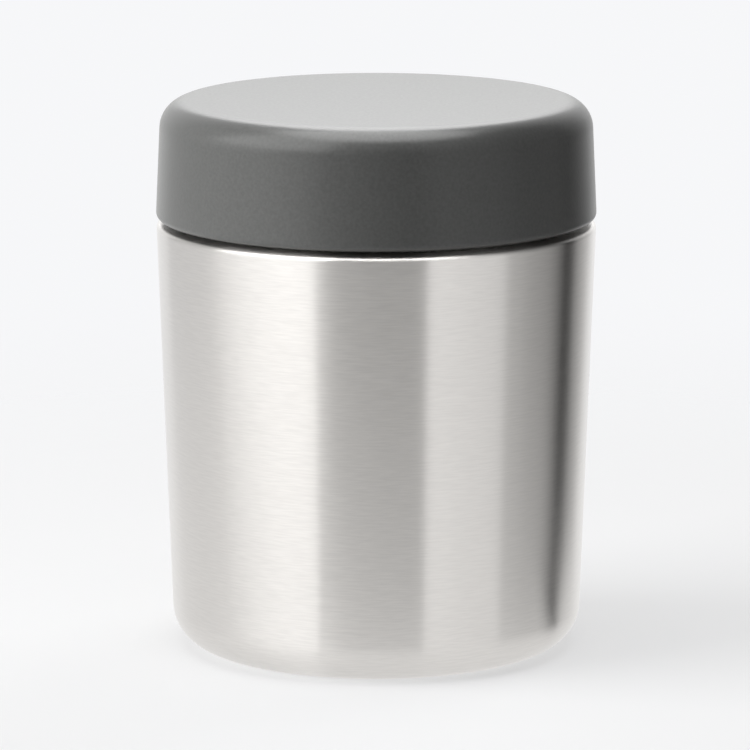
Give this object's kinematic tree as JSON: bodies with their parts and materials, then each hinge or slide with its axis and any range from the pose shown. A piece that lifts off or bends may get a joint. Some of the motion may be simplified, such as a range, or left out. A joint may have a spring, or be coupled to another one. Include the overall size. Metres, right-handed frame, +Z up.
{
  "type": "insulated food jar",
  "caption": "Wide-mouth insulated food jar: tapered double-wall steel body, screw lid and a swivelling insulated stopper with a vent valve.",
  "frame": {"origin": "middle of the foot, in the plane that the jar stands on", "axes": "+Z up along the jar's axis, out of its mouth; -Y faces the picture's camera"},
  "size_m": [0.091, 0.091, 0.1142],
  "materials": {
    "shell_steel": "satin",
    "vessel_steel": "satin",
    "plate_steel": "satin",
    "shield_foil": "gloss",
    "getter_metal": "matte",
    "seal_glass": "gloss",
    "lid_grey": "matte",
    "liner_grey": "satin",
    "stopper_grey": "satin",
    "ring_plastic": "satin",
    "foam": "matte",
    "silicone": "satin"
  },
  "bodies": {
    "jar": {"outer_shell": "shell_steel", "inner_vessel": "vessel_steel", "base_plate": "plate_steel", "base_cover": "plate_steel", "vacuum_seal": "seal_glass", "radiation_shield": "shield_foil", "getter": "getter_metal", "getter_clip": "plate_steel"},
    "stopper": {"stopper_body": "stopper_grey", "stopper_bottom": "stopper_grey", "stopper_foam": "foam", "stopper_gasket": "silicone"},
    "lid": {"lid_cover": "lid_grey", "lid_liner": "liner_grey", "lid_foam": "foam", "snap_ring": "ring_plastic"},
    "valve": {"vent_valve": "silicone"}
  },
  "joints": [
    {"name": "lid_rise", "type": "slide", "parent": "jar", "child": "stopper", "axis": [0, 0, 1], "range_m": [0, 0.02401]},
    {"name": "lid_turn", "type": "hinge", "parent": "stopper", "child": "lid", "pos_m": [0, 0, 0.1032], "axis": [0, 0, 1], "range_deg": [0, 720]},
    {"name": "vent_lift", "type": "slide", "parent": "stopper", "child": "valve", "axis": [0, 0, 1], "range_m": [0, 0.0012], "stiffness_N_per_m": 100, "springref_m": -0.0005}
  ],
  "couplings": [
    {"joint": "lid_rise", "follows": "lid_turn", "m_per_rad": 0.0019099}
  ]
}
